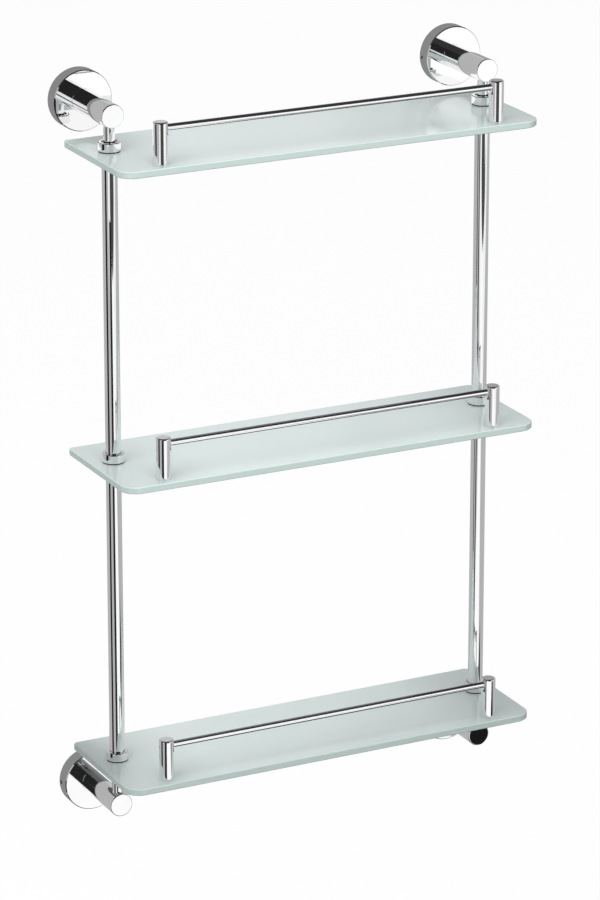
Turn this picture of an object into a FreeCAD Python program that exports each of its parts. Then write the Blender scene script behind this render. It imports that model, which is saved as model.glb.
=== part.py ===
import FreeCAD
import Part
import Sketcher
import math
import operator
import os
import types

# Three-tier glass wall shelf: two columns of tube carry three glass plates between four wall brackets.
# The wall is the plane Y = 0 and the shelf stands out from it towards -Y. X runs along the shelf and Z is up.
# The origin lies on the wall, midway between the four brackets. All sizes are in millimetres.

SIZES = {
    # Glass shelves
    "shelf_width": 400,
    "shelf_depth": 124,
    "glass_thickness": 6,
    "front_corner_radius": 15,
    "back_corner_radius": 4,
    "glass_arris": 0.6,
    "shelf_pitch": 277,
    "glass_standoff": 15,
    # Wall plates and roses
    "rose_diameter": 54,
    "rose_wall": 2.5,
    "rose_face": 2.5,
    "rose_bevel": 0.8,
    "plate_lip": 1.5,
    "plate_gap": 0.3,
    "plate_groove_depth": 1.5,
    "plate_hole_diameter": 5,
    "plate_hole_spacing": 30,
    "grub_diameter": 4,
    "grub_side_gap": 0.2,
    "grub_recess": 0.5,
    "grub_socket_width": 2,
    "grub_socket_depth": 1.8,
    # Arms
    "arm_diameter": 21,
    "arm_overhang": 8,
    "arm_round": 0.8,
    "arm_root_bevel": 0.35,
    "upper_arm_rise": 32,
    "lower_arm_drop": 35,
    "arm_screw_diameter": 6,
    "arm_screw_grip": 12,
    "arm_screw_head": 11,
    "arm_screw_head_height": 3,
    "arm_screw_socket_width": 4,
    "arm_screw_socket_depth": 1.8,
    "head_room": 1.1,
    # Columns
    "column_end_inset": 20,
    "column_setback": 52,
    "tube_diameter": 13.5,
    "tube_wall": 1.5,
    "stub_diameter": 9.5,
    "foot_height": 3.5,
    "rod_diameter": 6,
    "rod_grip": 12,
    "collar_wall": 2.7,
    "collar_gap": 0.3,
    "collar_height": 7.5,
    "collar_round": 0.8,
    "washer_thickness": 1.2,
    "washer_inset": 0.4,
    "neck_wall": 1.6,
    "neck_short": 1,
    # Guard rails
    "post_end_inset": 40,
    "post_front_inset": 12,
    "post_diameter": 13,
    "post_height": 37.5,
    "post_round": 1.4,
    "rail_diameter": 6,
    "rail_drop": 5.7,
    "post_screw_diameter": 4,
    "post_screw_grip": 10,
    "post_screw_head": 8,
    "post_screw_head_height": 1.5,
    "post_screw_socket_width": 2.5,
    "post_screw_socket_depth": 1,
    "bush_rim": 1.5,
    "bush_thickness": 0.6,
    "bush_neck_wall": 1.2,
    # Fits
    "thread_gap": 0.05,
    "socket_gap": 0.1,
    "glass_gap": 0.2,
    "run_out": 2,
}

LEFT, RIGHT = -1, 1
SIDES = {"left": LEFT, "right": RIGHT}
LEVELS = ("top", "middle", "bottom")
FACING_ROOM = FreeCAD.Rotation(FreeCAD.Vector(1, 0, 0), 90)
UPSIDE_DOWN = FreeCAD.Rotation(FreeCAD.Vector(1, 0, 0), 180)
UPRIGHT = FreeCAD.Rotation()


class Size:
    """A number together with the sheet formula that gives it."""

    def __init__(self, text, number):
        self.text = text
        self.number = number

    def __add__(self, other):
        return combine(self, "+", other)

    def __radd__(self, other):
        return combine(other, "+", self)

    def __sub__(self, other):
        return combine(self, "-", other)

    def __rsub__(self, other):
        return combine(other, "-", self)

    def __mul__(self, other):
        return combine(self, "*", other)

    def __rmul__(self, other):
        return combine(other, "*", self)

    def __truediv__(self, other):
        return combine(self, "/", other)

    def __neg__(self):
        return combine(0, "-", self)


def as_size(value):
    return value if isinstance(value, Size) else Size(repr(value), value)


def combine(left, sign, right):
    work = {"+": operator.add, "-": operator.sub, "*": operator.mul, "/": operator.truediv}[sign]
    left = as_size(left)
    right = as_size(right)
    return Size(f"({left.text} {sign} {right.text})", work(left.number, right.number))


def size_sheet():
    """Writes the driving dimensions into a sheet and gives each one back by name."""
    sheet = doc.addObject("Spreadsheet::Sheet", "sizes")
    for row, (alias, value) in enumerate(SIZES.items(), start=1):
        sheet.set(f"A{row}", alias)
        sheet.set(f"B{row}", str(value))
        sheet.setAlias(f"B{row}", alias)
    doc.recompute()
    return types.SimpleNamespace(**{alias: Size(f"sizes.{alias}", float(sheet.get(alias))) for alias in SIZES})


def bind(item, target, size):
    item.setExpression(target, as_size(size).text)


def place(item, x, y, z, rotation=UPRIGHT):
    places = [as_size(x), as_size(y), as_size(z)]
    item.Placement = FreeCAD.Placement(FreeCAD.Vector(*[each.number for each in places]), rotation)
    for axis, each in zip("xyz", places):
        bind(item, f"Placement.Base.{axis}", each)


def new_body(label):
    body = doc.addObject("PartDesign::Body", label)
    body.Label = label
    return body


def sketch_on(body, role, name):
    sketch = body.newObject("Sketcher::SketchObject", f"{body.Name}_{name}")
    plane = next(each for each in body.Origin.OriginFeatures if each.Role == role)
    sketch.AttachmentSupport = [(plane, "")]
    sketch.MapMode = "FlatFace"
    return sketch


def tie(sketch, kind, geometry, point, size):
    """Holds one point of a sketch at a bound distance from the sketch's origin, or on its axis."""
    size = as_size(size)
    axis = {"DistanceX": -2, "DistanceY": -1}[kind]
    if size.text == "0":
        sketch.addConstraint(Sketcher.Constraint("PointOnObject", geometry, point, axis))
        return
    index = sketch.addConstraint(Sketcher.Constraint(kind, -1, 1, geometry, point, size.number))
    bind(sketch, f"Constraints[{index}]", size)


def outline(sketch, corners):
    """Closed straight-sided outline through the given corners."""
    spots = [FreeCAD.Vector(as_size(x).number, as_size(y).number, 0) for x, y in corners]
    count = len(corners)
    for index in range(count):
        sketch.addGeometry(Part.LineSegment(spots[index], spots[(index + 1) % count]), False)
    for index in range(count):
        sketch.addConstraint(Sketcher.Constraint("Coincident", index, 2, (index + 1) % count, 1))
    for index, (x, y) in enumerate(corners):
        tie(sketch, "DistanceX", index, 1, x)
        tie(sketch, "DistanceY", index, 1, y)


def circle(sketch, x, y, diameter):
    centre = FreeCAD.Vector(as_size(x).number, as_size(y).number, 0)
    normal = FreeCAD.Vector(0, 0, 1)
    index = sketch.addGeometry(Part.Circle(centre, normal, diameter.number / 2), False)
    tie(sketch, "DistanceX", index, 3, x)
    tie(sketch, "DistanceY", index, 3, y)
    held = sketch.addConstraint(Sketcher.Constraint("Diameter", index, diameter.number))
    bind(sketch, f"Constraints[{held}]", diameter)


def hexagon(sketch, width):
    """Regular hexagon about the sketch's origin, measured across its flats."""
    reach = width / math.sqrt(3)
    half = reach / 2
    side = width / 2
    outline(sketch, [(side, half), (0, reach), (-side, half), (-side, -half), (0, -reach), (side, -half)])


def turned(label, corners):
    """Solid of revolution about the body's own Z axis, from corners given as radius and height."""
    body = new_body(label)
    profile = sketch_on(body, "XZ_Plane", "profile")
    outline(profile, corners)
    turn = body.newObject("PartDesign::Revolution", f"{label}_turn")
    turn.Profile = profile
    turn.ReferenceAxis = (profile, ["V_Axis"])
    turn.Angle = 360
    return body


def cut(body, sketch, name, depth=None, reverse=False):
    """Pocket from a sketch, right through on one side of it or to a bound depth."""
    doc.recompute()
    before = body.Shape.Volume
    pocket = body.newObject("PartDesign::Pocket", f"{body.Name}_{name}_cut")
    pocket.Profile = sketch
    pocket.Reversed = reverse
    if depth is None:
        pocket.Type = "ThroughAll"
    else:
        pocket.Type = "Length"
        bind(pocket, "Length", depth)
    doc.recompute()
    if not body.Shape.Volume < before:
        raise RuntimeError(f"{body.Name}: {name} cuts nothing")


def drill(body, role, name, spots, diameter, reverse=False):
    sketch = sketch_on(body, role, name)
    for x, y in spots:
        circle(sketch, x, y, diameter)
    cut(body, sketch, name, reverse=reverse)


def key_socket(body, width, depth):
    """Hexagon socket sunk into the end of the piece that lies on its own XY plane."""
    sketch = sketch_on(body, "XY_Plane", "socket")
    hexagon(sketch, width)
    cut(body, sketch, "socket", depth=depth, reverse=True)


def soften(body, kind, amount, chosen):
    """Rounds or bevels the edges of the body's last feature that the test picks out."""
    doc.recompute()
    base = body.Tip
    names = [f"Edge{index}" for index, edge in enumerate(base.Shape.Edges, start=1) if chosen(edge)]
    feature = body.newObject(f"PartDesign::{kind}", f"{base.Name}_{kind}")
    feature.Base = (base, names)
    bind(feature, {"Fillet": "Radius", "Chamfer": "Size"}[kind], amount)


def same(first, second):
    return abs(first - second) < 1e-6


def rim_at(radius, height):
    """Test for a circular edge of the given radius about Z at the given height."""
    def chosen(edge):
        if not isinstance(edge.Curve, Part.Circle):
            return False
        return same(edge.Curve.Radius, radius.number) and same(edge.CenterOfMass.z, height.number)
    return chosen


def upright_at(y):
    """Test for a straight vertical edge at the given depth."""
    def chosen(edge):
        box = edge.BoundBox
        return same(box.YMin, y) and same(box.YMax, y) and same(box.XLength, 0) and box.ZLength > 0
    return chosen


def lies_flat(edge):
    return same(edge.BoundBox.ZLength, 0)


def group(label, members):
    """One node that holds several alike pieces."""
    node = doc.addObject("Part::Compound", label)
    node.Label = label
    node.Links = members
    return node


doc = FreeCAD.newDocument("glass_wall_shelf")
dim = size_sheet()

# Heights, depths and radii that several pieces share
bracket_height = dim.upper_arm_rise + 2 * dim.shelf_pitch + dim.glass_thickness + dim.lower_arm_drop
arm_height = {"upper": bracket_height / 2, "lower": -bracket_height / 2}
glass_top = {name: bracket_height / 2 - dim.upper_arm_rise - step * dim.shelf_pitch
             for step, name in enumerate(LEVELS)}
column_depth = dim.glass_standoff + dim.column_setback
glass_front = dim.glass_standoff + dim.shelf_depth
post_depth = glass_front - dim.post_front_inset

plate_groove = dim.grub_diameter + 2 * dim.grub_side_gap
plate_thickness = plate_groove + 2 * dim.plate_lip
head_seat = plate_thickness + dim.head_room + dim.arm_screw_head_height
rose_depth = head_seat + dim.rose_face
rose_radius = dim.rose_diameter / 2
rose_bore = rose_radius - dim.rose_wall
plate_radius = rose_bore - dim.plate_gap
groove_floor = plate_radius - dim.plate_groove_depth
grub_height = plate_thickness / 2

arm_end = column_depth + dim.arm_overhang
arm_radius = dim.arm_diameter / 2
arm_screw_hole = dim.arm_screw_diameter / 2 + dim.thread_gap
stub_hole = dim.stub_diameter + 2 * dim.socket_gap

tube_radius = dim.tube_diameter / 2
rod_radius = dim.rod_diameter / 2
rod_hole = rod_radius + dim.thread_gap
neck_height = dim.glass_thickness - dim.neck_short
washer_bore = rod_radius + dim.glass_gap
neck_radius = washer_bore + dim.neck_wall
glass_rod_hole = 2 * (neck_radius + dim.glass_gap)
collar_bore = tube_radius + dim.collar_gap
collar_radius = collar_bore + dim.collar_wall
washer_radius = collar_radius - dim.washer_inset

post_radius = dim.post_diameter / 2
rail_height = dim.post_height - dim.rail_drop
rail_hole = dim.rail_diameter + 2 * dim.socket_gap
bush_bore = dim.post_screw_diameter / 2 + dim.glass_gap
bush_neck = bush_bore + dim.bush_neck_wall
glass_post_hole = 2 * (bush_neck + dim.glass_gap)


def column_x(side):
    return side * (dim.shelf_width / 2 - dim.column_end_inset)


def post_x(side):
    return side * (dim.shelf_width / 2 - dim.post_end_inset)


def glass_shelf(level):
    """Glass plate with rounded corners, ground edges and four holes, drawn from its front left corner."""
    body = new_body(f"glass_shelf_{level}")
    shape = sketch_on(body, "XY_Plane", "outline")
    outline(shape, [(0, 0), (dim.shelf_width, 0), (dim.shelf_width, dim.shelf_depth), (0, dim.shelf_depth)])
    pad = body.newObject("PartDesign::Pad", f"{body.Name}_pad")
    pad.Profile = shape
    bind(pad, "Length", dim.glass_thickness)
    soften(body, "Fillet", dim.front_corner_radius, upright_at(0))
    soften(body, "Fillet", dim.back_corner_radius, upright_at(dim.shelf_depth.number))
    soften(body, "Chamfer", dim.glass_arris, lies_flat)
    middle = dim.shelf_width / 2
    rods = [(middle + column_x(side), dim.shelf_depth - dim.column_setback) for side in SIDES.values()]
    posts = [(middle + post_x(side), dim.post_front_inset) for side in SIDES.values()]
    drill(body, "XY_Plane", "rod_holes", rods, glass_rod_hole, reverse=True)
    drill(body, "XY_Plane", "post_holes", posts, glass_post_hole, reverse=True)
    place(body, -middle, -glass_front, glass_top[level] - dim.glass_thickness)
    return body


def wall_plate(label, x, z):
    """Disc screwed to the wall, with a groove round its edge for the rose's grub screw."""
    low_lip = dim.plate_lip
    high_lip = dim.plate_lip + plate_groove
    body = turned(label, [
        (0, 0), (plate_radius, 0), (plate_radius, low_lip), (groove_floor, low_lip),
        (groove_floor, high_lip), (plate_radius, high_lip), (plate_radius, plate_thickness), (0, plate_thickness)])
    holes = [(side * dim.plate_hole_spacing / 2, 0) for side in SIDES.values()]
    drill(body, "XY_Plane", "wall_holes", holes, dim.plate_hole_diameter, reverse=True)
    place(body, x, 0, z, FACING_ROOM)
    return body


def rose(label, x, z, grub_role):
    """Cup that covers the wall plate, with a hole for the arm's screw and one in the rim for a grub screw."""
    edge = rose_radius - dim.rose_bevel
    shoulder = rose_depth - dim.rose_bevel
    body = turned(label, [
        (rose_bore, 0), (rose_radius, 0), (rose_radius, shoulder), (edge, rose_depth),
        (arm_screw_hole, rose_depth), (arm_screw_hole, head_seat), (rose_bore, head_seat)])
    drill(body, grub_role, "grub_hole", [(0, grub_height)], dim.grub_diameter + 2 * dim.thread_gap,
          reverse=grub_role == "XZ_Plane")
    place(body, x, 0, z, FACING_ROOM)
    return body


def arm(label, x, z, stub_above):
    """Round arm that stands out from the rose, tapped behind and drilled across for a column's end."""
    tap_end = rose_depth + dim.arm_screw_grip + dim.run_out
    body = turned(label, [
        (0, tap_end), (arm_screw_hole, tap_end), (arm_screw_hole, rose_depth),
        (arm_radius, rose_depth), (arm_radius, arm_end), (0, arm_end)])
    soften(body, "Fillet", dim.arm_round, rim_at(arm_radius, arm_end))
    soften(body, "Chamfer", dim.arm_root_bevel, rim_at(arm_radius, rose_depth))
    drill(body, "XZ_Plane", "stub_socket", [(0, column_depth)], stub_hole, reverse=not stub_above)
    place(body, x, 0, z, FACING_ROOM)
    return body


def socket_screw(label, head, head_height, shank, length, socket_width, socket_depth):
    """Screw with a round head that lies on its own XY plane, and its shank above."""
    tip = head_height + length
    body = turned(label, [(0, 0), (head / 2, 0), (head / 2, head_height), (shank / 2, head_height),
                          (shank / 2, tip), (0, tip)])
    key_socket(body, socket_width, socket_depth)
    return body


def arm_screw(label, x, z):
    body = socket_screw(label, dim.arm_screw_head, dim.arm_screw_head_height, dim.arm_screw_diameter,
                        dim.rose_face + dim.arm_screw_grip, dim.arm_screw_socket_width,
                        dim.arm_screw_socket_depth)
    place(body, x, -(head_seat - dim.arm_screw_head_height), z, FACING_ROOM)
    return body


def grub_screw(label, x, z, grub_role):
    """Headless screw from the rose's rim to the floor of the plate's groove."""
    start = rose_radius - dim.grub_recess
    length = start - groove_floor
    radius = dim.grub_diameter / 2
    body = turned(label, [(0, 0), (radius, 0), (radius, length), (0, length)])
    key_socket(body, dim.grub_socket_width, dim.grub_socket_depth)
    if grub_role == "YZ_Plane":
        place(body, x - start, -grub_height, z, FreeCAD.Rotation(FreeCAD.Vector(0, 1, 0), 90))
    else:
        place(body, x, -grub_height, z - start)
    return body


def stub(label, length, x, z, rotation=UPRIGHT):
    """Thin end of a column: a foot that stands on the washer, and a stem that enters the arm."""
    stem = dim.stub_diameter / 2
    tap_end = dim.rod_grip + dim.run_out
    body = turned(label, [
        (rod_hole, 0), (tube_radius, 0), (tube_radius, dim.foot_height), (stem, dim.foot_height),
        (stem, length), (0, length), (0, tap_end), (rod_hole, tap_end)])
    place(body, x, -column_depth, z, rotation)
    return body


def tube(label, level_above, level_below, x):
    """Spacer tube between the washers of two neighbouring shelves."""
    foot = glass_top[level_below] + dim.washer_thickness
    length = glass_top[level_above] - dim.glass_thickness - dim.washer_thickness - foot
    bore = tube_radius - dim.tube_wall
    body = turned(label, [(bore, 0), (tube_radius, 0), (tube_radius, length), (bore, length)])
    place(body, x, -column_depth, foot)
    return body


def tie_rod(label, x):
    """Threaded rod that draws a whole column together, from the upper stub to the lower one."""
    top = glass_top["top"] + dim.washer_thickness + dim.rod_grip
    foot = glass_top["bottom"] - dim.glass_thickness - dim.washer_thickness - dim.rod_grip
    body = turned(label, [(0, 0), (rod_radius, 0), (rod_radius, top - foot), (0, top - foot)])
    place(body, x, -column_depth, foot)
    return body


def collar(label, level, x):
    """Ring round the foot of a column piece, standing on the washer."""
    body = turned(label, [(collar_bore, 0), (collar_radius, 0), (collar_radius, dim.collar_height),
                          (collar_bore, dim.collar_height)])
    soften(body, "Fillet", dim.collar_round, rim_at(collar_radius, dim.collar_height))
    place(body, x, -column_depth, glass_top[level] + dim.washer_thickness)
    return body


def upper_washer(label, level, x):
    """Rubber washer on top of the glass, with a neck that lines the glass hole."""
    top = neck_height + dim.washer_thickness
    body = turned(label, [(washer_bore, 0), (neck_radius, 0), (neck_radius, neck_height),
                          (washer_radius, neck_height), (washer_radius, top), (washer_bore, top)])
    place(body, x, -column_depth, glass_top[level] - neck_height)
    return body


def lower_washer(label, level, x):
    """Flat rubber washer under the glass."""
    body = turned(label, [(washer_bore, 0), (tube_radius, 0), (tube_radius, dim.washer_thickness),
                          (washer_bore, dim.washer_thickness)])
    place(body, x, -column_depth, glass_top[level] - dim.glass_thickness - dim.washer_thickness)
    return body


def rail_post(label, level, side):
    """Round post at the front of a shelf, tapped below and drilled on its inner side for the rail."""
    tap = dim.post_screw_diameter / 2 + dim.thread_gap
    tap_end = dim.post_screw_grip + dim.run_out
    body = turned(label, [(tap, 0), (post_radius, 0), (post_radius, dim.post_height), (0, dim.post_height),
                          (0, tap_end), (tap, tap_end)])
    soften(body, "Fillet", dim.post_round, rim_at(post_radius, dim.post_height))
    drill(body, "YZ_Plane", "rail_socket", [(0, rail_height)], rail_hole, reverse=side == LEFT)
    place(body, post_x(side), -post_depth, glass_top[level])
    return body


def guard_rail(label, level):
    """Round rail that runs from the middle of one post to the middle of the other."""
    radius = dim.rail_diameter / 2
    length = dim.shelf_width - 2 * dim.post_end_inset
    body = turned(label, [(0, 0), (radius, 0), (radius, length), (0, length)])
    along = FreeCAD.Rotation(FreeCAD.Vector(0, 1, 0), 90)
    place(body, post_x(LEFT), -post_depth, glass_top[level] + rail_height, along)
    return body


def post_bush(label, level, side):
    """Plastic washer under the glass, with a neck that lines the post's hole."""
    rim = dim.post_screw_head / 2 + dim.bush_rim
    top = dim.bush_thickness + neck_height
    body = turned(label, [(bush_bore, 0), (rim, 0), (rim, dim.bush_thickness), (bush_neck, dim.bush_thickness),
                          (bush_neck, top), (bush_bore, top)])
    place(body, post_x(side), -post_depth, glass_top[level] - dim.glass_thickness - dim.bush_thickness)
    return body


def post_screw(label, level, side):
    grip = dim.bush_thickness + dim.glass_thickness + dim.post_screw_grip
    body = socket_screw(label, dim.post_screw_head, dim.post_screw_head_height, dim.post_screw_diameter, grip,
                        dim.post_screw_socket_width, dim.post_screw_socket_depth)
    seat = glass_top[level] - dim.glass_thickness - dim.bush_thickness
    place(body, post_x(side), -post_depth, seat - dim.post_screw_head_height)
    return body


# Four wall brackets. The grub screw is in the rim's left side on two roses and below on the other two.
GRUB_ROLES = {("upper", "left"): "XZ_Plane", ("upper", "right"): "YZ_Plane",
              ("lower", "left"): "YZ_Plane", ("lower", "right"): "XZ_Plane"}
nodes = []
arm_screws = []
grub_screws = []
for (row, side_name), role in GRUB_ROLES.items():
    spot = f"{row}_{side_name}"
    across = column_x(SIDES[side_name])
    height = arm_height[row]
    nodes.append(wall_plate(f"wall_plate_{spot}", across, height))
    nodes.append(rose(f"rose_{spot}", across, height, role))
    nodes.append(arm(f"arm_{spot}", across, height, stub_above=row == "lower"))
    arm_screws.append(arm_screw(f"arm_screw_{spot}", across, height))
    grub_screws.append(grub_screw(f"grub_screw_{spot}", across, height, role))
nodes.append(group("arm_screws", arm_screws))
nodes.append(group("grub_screws", grub_screws))

# Two columns
upper_washers = []
lower_washers = []
for side_name, side in SIDES.items():
    across = column_x(side)
    stub_top = glass_top["top"] + dim.washer_thickness
    stub_bottom = glass_top["bottom"] - dim.glass_thickness - dim.washer_thickness
    nodes.append(stub(f"upper_stub_{side_name}", dim.upper_arm_rise - dim.washer_thickness, across, stub_top))
    nodes.append(stub(f"lower_stub_{side_name}", dim.lower_arm_drop - dim.washer_thickness, across, stub_bottom,
                      UPSIDE_DOWN))
    nodes.append(tube(f"upper_tube_{side_name}", "top", "middle", across))
    nodes.append(tube(f"lower_tube_{side_name}", "middle", "bottom", across))
    nodes.append(tie_rod(f"tie_rod_{side_name}", across))
    for level in LEVELS:
        spot = f"{level}_{side_name}"
        nodes.append(collar(f"collar_{spot}", level, across))
        upper_washers.append(upper_washer(f"upper_washer_{spot}", level, across))
        lower_washers.append(lower_washer(f"lower_washer_{spot}", level, across))
nodes.append(group("upper_washers", upper_washers))
nodes.append(group("lower_washers", lower_washers))

# Three shelves with their guard rails
post_screws = []
post_bushes = []
for level in LEVELS:
    nodes.append(glass_shelf(level))
    nodes.append(guard_rail(f"guard_rail_{level}", level))
    for side_name, side in SIDES.items():
        spot = f"{level}_{side_name}"
        nodes.append(rail_post(f"rail_post_{spot}", level, side))
        post_screws.append(post_screw(f"post_screw_{spot}", level, side))
        post_bushes.append(post_bush(f"post_bush_{spot}", level, side))
nodes.append(group("post_screws", post_screws))
nodes.append(group("post_bushes", post_bushes))

doc.recompute()
for item in doc.Objects:
    if "Invalid" in item.State or "Error" in item.State:
        raise RuntimeError(f"{item.Label} did not build: {item.State}")
for node in nodes:
    if node.Shape.isNull() or not node.Shape.isValid():
        raise RuntimeError(f"{node.Label} has no sound shape")

os.makedirs("parts", exist_ok=True)
for node in nodes:
    node.Shape.exportStep(f"parts/{node.Label}.step")
print(f"{len(nodes)} nodes written")
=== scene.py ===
import math

import bpy
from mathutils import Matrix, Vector

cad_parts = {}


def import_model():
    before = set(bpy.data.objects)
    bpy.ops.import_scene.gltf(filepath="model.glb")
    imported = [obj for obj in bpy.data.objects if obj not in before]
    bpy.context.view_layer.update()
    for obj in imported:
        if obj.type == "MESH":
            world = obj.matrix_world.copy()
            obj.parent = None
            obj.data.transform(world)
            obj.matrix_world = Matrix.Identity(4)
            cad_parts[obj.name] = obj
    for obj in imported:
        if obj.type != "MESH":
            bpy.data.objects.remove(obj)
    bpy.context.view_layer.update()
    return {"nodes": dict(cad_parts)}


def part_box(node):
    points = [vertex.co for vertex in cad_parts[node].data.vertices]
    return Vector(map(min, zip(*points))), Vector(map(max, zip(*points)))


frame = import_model()


# Shader values that add up in plain Python


class Level:
    """A number that varies over a surface, wrapped so that sums on it become shader nodes."""

    def __init__(self, tree, socket):
        self.tree = tree
        self.socket = socket

    def calc(self, operation, *values, clamp=False):
        settings = {"operation": operation, "use_clamp": clamp}
        node = add_node(self.tree, "ShaderNodeMath", settings, dict(enumerate(values)))
        return Level(self.tree, node.outputs[0])

    def __add__(self, other):
        return self.calc("ADD", self, other)

    __radd__ = __add__

    def __rsub__(self, other):
        return self.calc("SUBTRACT", other, self)

    def __rmul__(self, other):
        return self.calc("MULTIPLY", self, other)

    def __abs__(self):
        return self.calc("ABSOLUTE", self)

    def above(self, edge, blend):
        """1 where the value is over the edge and 0 under it, with a soft step as wide as the blend."""
        return self.calc("MULTIPLY_ADD", self, 1 / blend, 0.5 - edge / blend, clamp=True)


# Shader nodes

MIX_FIRST_COLOUR = 6
MIX_SECOND_COLOUR = 7
MIX_COLOUR_RESULT = 2


def feed(tree, socket, value):
    """Links a varying value to a socket, or sets a plain value on it."""
    if isinstance(value, Level):
        tree.links.new(value.socket, socket)
    elif isinstance(value, bpy.types.NodeSocket):
        tree.links.new(value, socket)
    else:
        socket.default_value = value


def add_node(tree, kind, settings=None, inputs=None):
    """Adds a shader node, sets it up, then gives its sockets their values or links."""
    node = tree.nodes.new(kind)
    for name, value in (settings or {}).items():
        setattr(node, name, value)
    for name, value in (inputs or {}).items():
        feed(tree, node.inputs[name], value)
    return node


def blank_tree(owner):
    owner.use_nodes = True
    owner.node_tree.nodes.clear()
    return owner.node_tree


def new_material(name):
    material = bpy.data.materials.new(name)
    return material, blank_tree(material)


def place_of(tree):
    return add_node(tree, "ShaderNodeTexCoord").outputs["Object"]


def direction_of(tree):
    return add_node(tree, "ShaderNodeTexCoord").outputs["Normal"]


def along(tree, vector, axis):
    """One of the three parts of a vector."""
    parts = add_node(tree, "ShaderNodeSeparateXYZ", {}, {"Vector": vector})
    return Level(tree, parts.outputs[axis])


def speckle(tree, scale, detail=2.0):
    """A soft random pattern from 0 to 1, with a grain of about 1/scale metres."""
    noise = add_node(tree, "ShaderNodeTexNoise", {},
                     {"Vector": place_of(tree), "Scale": scale, "Detail": detail})
    return Level(tree, noise.outputs["Fac"])


def blend_colours(tree, share, first, second):
    """The first colour where the share is 0, and the second where it is 1."""
    node = add_node(tree, "ShaderNodeMix", {"data_type": "RGBA"},
                    {"Factor": share, MIX_FIRST_COLOUR: first, MIX_SECOND_COLOUR: second})
    return node.outputs[MIX_COLOUR_RESULT]


def blend_shaders(tree, share, first, second):
    """The first shader where the share is 0, and the second where it is 1."""
    return add_node(tree, "ShaderNodeMixShader", {}, {0: share, 1: first, 2: second}).outputs[0]


def relief(tree, height, strength, depth):
    node = add_node(tree, "ShaderNodeBump", {}, {"Height": height, "Strength": strength, "Distance": depth})
    return node.outputs["Normal"]


def show(tree, shader):
    add_node(tree, "ShaderNodeOutputMaterial", {}, {"Surface": shader})


def surface(tree, **inputs):
    sockets = {name.replace("_", " "): value for name, value in inputs.items()}
    show(tree, add_node(tree, "ShaderNodeBsdfPrincipled", {}, sockets).outputs["BSDF"])


# Finishes

CHROME_DULL = (0.84, 0.845, 0.85, 1)
CHROME_BRIGHT = (0.91, 0.91, 0.915, 1)
GLASS_DEEP = (0.66, 0.745, 0.735, 1)
GLASS_PALE = (0.70, 0.775, 0.765, 1)
# Painted shade: a darker glass colour for the shelf ends, where less light falls.
GLASS_PAINTED_SHADE_AT_ENDS = (0.52, 0.59, 0.58, 1)
# Painted highlight: a lighter colour on the bevel between the faces and the edges.
GLASS_BEVEL_PAINTED_HIGHLIGHT = (0.60, 0.70, 0.68, 1)
GLASS_EDGE = (0.545, 0.66, 0.63, 1)
# Painted shade: the end faces get a darker copy of the edge colour.
GLASS_END_FACE_PAINTED_SHADE = (0.485, 0.58, 0.56, 1)
RUBBER_BLACK = (0.008, 0.008, 0.009, 1)
RUBBER_GREY = (0.022, 0.022, 0.023, 1)
ZINC_BLUE = (0.50, 0.53, 0.57, 1)
ZINC_YELLOW = (0.66, 0.66, 0.62, 1)
PLASTIC_DIM = (0.76, 0.78, 0.77, 1)
PLASTIC_PALE = (0.86, 0.87, 0.86, 1)


def polished_chrome():
    material, tree = new_material("polished_chrome")
    haze = speckle(tree, scale=45)
    polish = speckle(tree, scale=700, detail=3.0)
    colour = blend_colours(tree, haze, CHROME_DULL, CHROME_BRIGHT)
    surface(tree, Base_Color=colour, Metallic=1.0, Roughness=0.02 + 0.03 * haze,
            Normal=relief(tree, polish, strength=0.02, depth=0.00002))
    return material


def etched_glass():
    material, tree = new_material("etched_glass")
    cloud = speckle(tree, scale=14)
    grain = speckle(tree, scale=2600)
    upwards = abs(along(tree, direction_of(tree), "Z"))
    sideways = abs(along(tree, direction_of(tree), "X"))
    from_middle = abs(along(tree, place_of(tree), "X"))
    flat = upwards.above(0.93, blend=0.06)
    edge = 1 - upwards.above(0.35, blend=0.2)
    clouded = blend_colours(tree, cloud, GLASS_DEEP, GLASS_PALE)
    # Painted shade: the top and bottom faces darken towards both ends of each shelf.
    faces_with_painted_end_shade = blend_colours(tree, from_middle.above(0.165, blend=0.11), clouded, GLASS_PAINTED_SHADE_AT_ENDS)
    # Painted highlight on the bevel; the upright edges keep the glass's own greener edge colour.
    ground_edges_and_painted_bevel_highlight = blend_colours(tree, edge, GLASS_BEVEL_PAINTED_HIGHLIGHT, GLASS_EDGE)
    # Painted shade: sideways-facing faces at the shelf ends are darker than the front and back edges.
    rims_with_painted_light = blend_colours(tree, sideways.above(0.45, blend=0.7), ground_edges_and_painted_bevel_highlight, GLASS_END_FACE_PAINTED_SHADE)
    colour = blend_colours(tree, flat, rims_with_painted_light, faces_with_painted_end_shade)
    surface(tree, Base_Color=colour, Roughness=0.16 - 0.06 * flat + 0.04 * grain, IOR=1.5,
            Normal=relief(tree, grain, strength=0.04, depth=0.0001))
    return material


def black_rubber():
    material, tree = new_material("black_rubber")
    grain = speckle(tree, scale=1500, detail=3.0)
    colour = blend_colours(tree, grain, RUBBER_BLACK, RUBBER_GREY)
    surface(tree, Base_Color=colour, Roughness=0.5 + 0.2 * grain,
            Normal=relief(tree, grain, strength=0.2, depth=0.0001))
    return material


def zinc_plated_steel():
    material, tree = new_material("zinc_plated_steel")
    bloom = speckle(tree, scale=160, detail=3.0)
    grain = speckle(tree, scale=2000)
    colour = blend_colours(tree, bloom, ZINC_BLUE, ZINC_YELLOW)
    surface(tree, Base_Color=colour, Metallic=1.0, Roughness=0.26 + 0.16 * grain,
            Normal=relief(tree, grain, strength=0.1, depth=0.00005))
    return material


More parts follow.
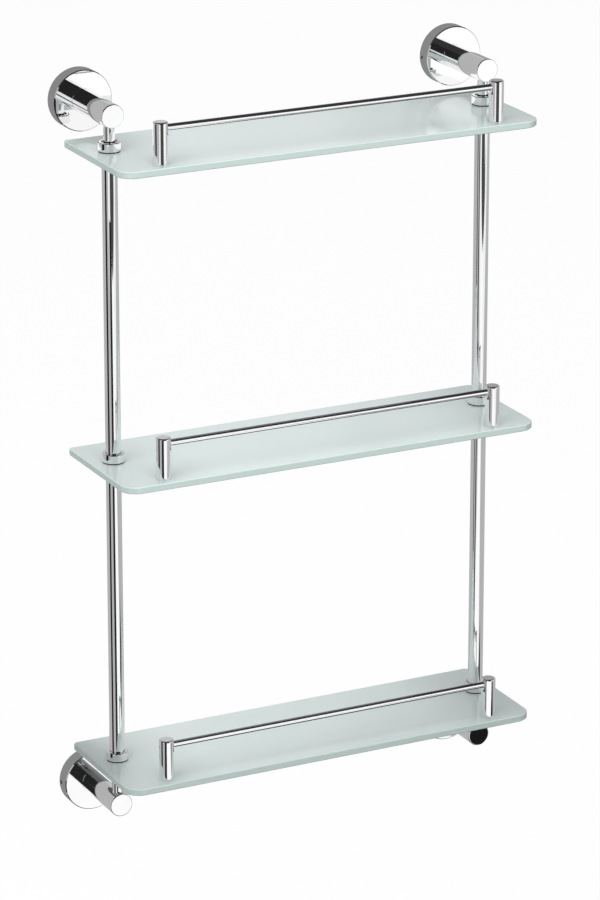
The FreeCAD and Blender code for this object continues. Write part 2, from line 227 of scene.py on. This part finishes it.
def milky_plastic():
    material, tree = new_material("milky_plastic")
    cloud = speckle(tree, scale=300)
    colour = blend_colours(tree, cloud, PLASTIC_DIM, PLASTIC_PALE)
    surface(tree, Base_Color=colour, Roughness=0.3 + 0.1 * cloud)
    return material


def dress_cad_nodes():
    finishes = {
        "chrome": polished_chrome(),
        "frosted_glass": etched_glass(),
        "black_rubber": black_rubber(),
        "zinc_steel": zinc_plated_steel(),
        "clear_plastic": milky_plastic(),
    }
    for node in frame["nodes"].values():
        for holder in node.material_slots:
            holder.material = finishes[holder.material.name]


# Floor and sky

WHITE = (1, 1, 1, 1)
MIRROR_GREY = 0.5
SKY_LIGHT = 0.78
FLOOR_LEVEL = -0.62
FLOOR_SIZE = 24
FLOOR_TO_CAMERA = (0.86, 0.86, 0.86, 1)
FLOOR_TO_ROOM = (0.12, 0.12, 0.12, 1)
FLOOR_WHITENING = 0.93


def flat_piece(name, centre, size, turn=(0, 0, 0)):
    """A rectangle without thickness. Its turn is in degrees."""
    angles = [math.radians(degrees) for degrees in turn]
    bpy.ops.mesh.primitive_plane_add(size=1, location=centre, rotation=angles)
    piece = bpy.context.object
    piece.name = name
    piece.scale = (*size, 1)
    return piece


def glow(tree, strength):
    return add_node(tree, "ShaderNodeEmission", {}, {"Color": WHITE, "Strength": strength}).outputs[0]


def sky_glow(tree, strength):
    return add_node(tree, "ShaderNodeBackground", {}, {"Color": WHITE, "Strength": strength}).outputs[0]


def matt(tree, colour):
    return add_node(tree, "ShaderNodeBsdfDiffuse", {}, {"Color": colour}).outputs[0]


def floor():
    """A pale floor: white with the shadow left in to the camera, mid grey to mirrors, dim to the rest."""
    plane = flat_piece("studio_floor", (0, 0, FLOOR_LEVEL), (FLOOR_SIZE, FLOOR_SIZE))
    material, tree = new_material("pale_floor")
    path = add_node(tree, "ShaderNodeLightPath")
    to_camera = blend_shaders(tree, FLOOR_WHITENING, matt(tree, FLOOR_TO_CAMERA), glow(tree, 1.0))
    lit = blend_shaders(tree, path.outputs["Is Camera Ray"], matt(tree, FLOOR_TO_ROOM), to_camera)
    show(tree, blend_shaders(tree, path.outputs["Is Glossy Ray"], lit, glow(tree, MIRROR_GREY)))
    plane.data.materials.append(material)


def world():
    """A plain sky: white to the camera, mid grey to mirrors, and an even light to the rest."""
    sky = bpy.data.worlds.new("studio")
    bpy.context.scene.world = sky
    tree = blank_tree(sky)
    path = add_node(tree, "ShaderNodeLightPath")
    to_room = sky_glow(tree, SKY_LIGHT)
    to_mirrors = sky_glow(tree, MIRROR_GREY)
    unseen = blend_shaders(tree, path.outputs["Is Glossy Ray"], to_room, to_mirrors)
    seen = blend_shaders(tree, path.outputs["Is Camera Ray"], unseen, sky_glow(tree, 1.0))
    add_node(tree, "ShaderNodeOutputWorld", {}, {"Surface": seen})


# Cards for the chrome to mirror

FACING_SHELF = (90, 0, 0)
FLOOR_CARD_LEVEL = -0.61
SHELF_CARD_LEVEL = 0.2830
SHELF_CARD_SPANS = (
    ((-0.200, -0.169), (-0.066, -0.020)),
    ((-0.169, -0.118), (-0.100, -0.020)),
    ((0.150, 0.200), (-0.064, -0.020)),
)


def glowing_card(card, strength, clear_below=False):
    """Makes a flat piece a card that only mirrors see, so that the chrome has light and dark to show."""
    material, tree = new_material(card.name)
    shader = glow(tree, strength)
    if clear_below:
        from_below = add_node(tree, "ShaderNodeNewGeometry").outputs["Backfacing"]
        clear = add_node(tree, "ShaderNodeBsdfTransparent").outputs[0]
        shader = blend_shaders(tree, from_below, shader, clear)
    show(tree, shader)
    card.data.materials.append(material)
    card.visible_camera = False
    card.visible_diffuse = False
    card.visible_transmission = False
    card.visible_shadow = False


def turned(name, centre, size, turn, strength):
    """A card at any angle."""
    glowing_card(flat_piece(name, centre, size, turn), strength)


def middle_and_length(span):
    low, high = span
    return (low + high) / 2, high - low


def upright(name, x, z, y, strength):
    """A card that faces the shelf from the front or the back, over the spans x and z."""
    across, width = middle_and_length(x)
    up, height = middle_and_length(z)
    turned(name, (across, y, up), (width, height), FACING_SHELF, strength)


def lying(name, x, y, z, strength, clear_below=False):
    """A card that lies flat over the spans x and y."""
    across, width = middle_and_length(x)
    away, depth = middle_and_length(y)
    glowing_card(flat_piece(name, (across, away, z), (width, depth)), strength, clear_below)


def room_cards():
    """The room that the chrome mirrors, with a white floor in front, a dark far side and white sides."""
    lying("white_floor_front", x=(-0.75, 0.50), y=(-2.70, -0.45), z=FLOOR_CARD_LEVEL, strength=1.1)
    lying("white_floor_left", x=(-2.60, -0.75), y=(-4.00, -1.90), z=FLOOR_CARD_LEVEL, strength=1.0)
    lying("white_floor_right", x=(0.50, 3.50), y=(-2.70, -1.75), z=FLOOR_CARD_LEVEL, strength=1.0)
    lying("dark_floor_under", x=(-0.45, 0.45), y=(-0.40, 0.22), z=-0.60, strength=0.08)
    lying("dark_floor_right", x=(0.42, 0.80), y=(-0.90, -0.59), z=-0.59, strength=0.01)
    upright("white_side_left", x=(-2.60, -1.42), z=(-0.61, 0.40), y=-2.75, strength=1.0)
    upright("dark_side_low", x=(-1.40, 0.92), z=(-0.61, 0.30), y=-2.72, strength=0.07)
    upright("dark_side_high", x=(-1.30, 0.72), z=(0.30, 1.70), y=-2.10, strength=0.02)
    upright("dark_side_skirt", x=(0.92, 1.45), z=(-0.61, -0.51), y=-2.72, strength=0.10)
    upright("white_side_right", x=(0.92, 4.50), z=(-0.61, 1.40), y=-2.75, strength=1.15)
    upright("white_side_back", x=(0.45, 1.10), z=(0.20, 1.40), y=2.00, strength=0.60)
    upright("dark_side_back", x=(1.13, 1.90), z=(0.20, 1.40), y=2.00, strength=0.38)
    lying("dark_ceiling", x=(-2.00, 2.00), y=(-2.80, 1.20), z=1.45, strength=0.04)


def near_cards():
    """Small cards close by: dark ones beside the tubes and white ones that the upper roses mirror."""
    turned("dark_flag_left", centre=(-0.52, -0.085, -0.15), size=(0.17, 0.95), turn=(90, 0, 85),
           strength=0.01)
    turned("dark_flag_front", centre=(-0.33, -0.361, -0.235), size=(0.17, 0.73), turn=(90, 0, -27),
           strength=0.02)
    upright("white_card_small", x=(-0.179, -0.1545), z=(0.293, 0.3175), y=-0.105, strength=1.1)
    for x, y in SHELF_CARD_SPANS:
        lying("white_card_shelf", x, y, SHELF_CARD_LEVEL, strength=1.05, clear_below=True)


# Shades that roses and rails mirror

ROSE_X = 0.18
ROSE_Z = 0.3135
WALL_SHADE_TONE = 0.27
WALL_SHADE_SIDES = 48
WALL_SHADE_RADIUS = 0.041
WALL_SHADE_WIDTH = 0.0135
WALL_SHADE_BEHIND = 0.008
RAIL_SHADE_TONE = 0.05
RAIL_SHADE_NEAR = 0.0042
RAIL_SHADE_FAR = 0.0008
RAIL_SHADE_DROP = 0.003


def wall_shade(x, z):
    """The ring of shade on the wall round a rose, for the rose's rim to mirror."""
    bpy.ops.mesh.primitive_circle_add(vertices=WALL_SHADE_SIDES, radius=WALL_SHADE_RADIUS, fill_type="NGON",
                                      location=(x, WALL_SHADE_BEHIND, z), rotation=(math.radians(90), 0, 0))
    bpy.ops.object.mode_set(mode="EDIT")
    bpy.ops.mesh.inset(thickness=WALL_SHADE_WIDTH)
    bpy.ops.mesh.delete(type="FACE")
    bpy.ops.object.mode_set(mode="OBJECT")
    ring = bpy.context.object
    ring.name = "wall_shade"
    glowing_card(ring, WALL_SHADE_TONE)


def rail_shade(level):
    """The shade close under a rail, which the rail mirrors and which is clear from below."""
    low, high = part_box(f"guard_rail_{level}")
    middle = (low[1] + high[1]) / 2
    lying("rail_shade", (low[0], high[0]), (middle - RAIL_SHADE_NEAR, middle - RAIL_SHADE_FAR),
          low[2] - RAIL_SHADE_DROP, RAIL_SHADE_TONE, clear_below=True)


def shades():
    for x in (-ROSE_X, ROSE_X):
        for z in (ROSE_Z, -ROSE_Z):
            wall_shade(x, z)
    for level in ("top", "middle", "bottom"):
        rail_shade(level)


# Flags that take light off the shelves

FLAG_BLACK = (0.02, 0.02, 0.02, 1)
LOW_FLAG_COUNT = 5
LOW_FLAG_NEAREST = -0.18
LOW_FLAG_STEP = 0.04


def black_flag(name, centre, size):
    """A matt black card, lying flat, that neither the camera nor mirrors see."""
    flag = flat_piece(name, centre, size)
    material, tree = new_material(name)
    show(tree, matt(tree, FLAG_BLACK))
    flag.data.materials.append(material)
    flag.visible_camera = False
    flag.visible_glossy = False
    flag.visible_transmission = False


def flags():
    black_flag("flag_overhead", centre=(0, -0.077, 0.56), size=(0.40, 0.124))
    for step in range(LOW_FLAG_COUNT):
        y = LOW_FLAG_NEAREST - LOW_FLAG_STEP * step
        black_flag("flag_low", centre=(0, y, -0.15), size=(0.70, 0.012))
    black_flag("flag_end_right", centre=(0.165, -0.105, -0.18), size=(0.06, 0.10))
    black_flag("flag_end_left", centre=(-0.222, -0.058, -0.238), size=(0.04, 0.11))


# Lamps

LAMP_TARGET = (0, -0.07, 0)


def soft_lamp(name, place, size, power):
    """A wide lamp that points at the shelf and that mirrors do not see."""
    light = bpy.data.lights.new(name, "AREA")
    light.shape = "RECTANGLE"
    light.size, light.size_y = size
    light.energy = power
    lamp = bpy.data.objects.new(name, light)
    bpy.context.scene.collection.objects.link(lamp)
    lamp.location = place
    lamp.visible_glossy = False
    aim = Vector(LAMP_TARGET) - Vector(place)
    lamp.rotation_euler = aim.to_track_quat("-Z", "Y").to_euler()


def lamps():
    soft_lamp("soft_key", place=(-1.3, -1.9, 1.9), size=(4.5, 3.5), power=98)
    soft_lamp("soft_fill", place=(-2.5, -1.7, 0.3), size=(1.6, 1.6), power=6)


# Camera

EYE = (-1.6220, -3.2924, 1.2167)
TURN = 26.70
DIP = 17.01
LENS = 172.87
LENS_SHIFT = -0.15
SENSOR_WIDTH = 36
SIGHT = 100


def camera():
    data = bpy.data.cameras.new("view")
    data.lens = LENS
    data.sensor_width = SENSOR_WIDTH
    data.shift_y = LENS_SHIFT
    data.clip_end = SIGHT
    eye = bpy.data.objects.new("view", data)
    bpy.context.scene.collection.objects.link(eye)
    eye.location = EYE
    eye.rotation_euler = (math.radians(90 - DIP), 0, math.radians(-TURN))
    bpy.context.scene.camera = eye


bpy.ops.object.select_all(action="DESELECT")
dress_cad_nodes()
floor()
room_cards()
near_cards()
shades()
flags()
world()
lamps()
camera()
bpy.context.scene.view_settings.view_transform = "Standard"
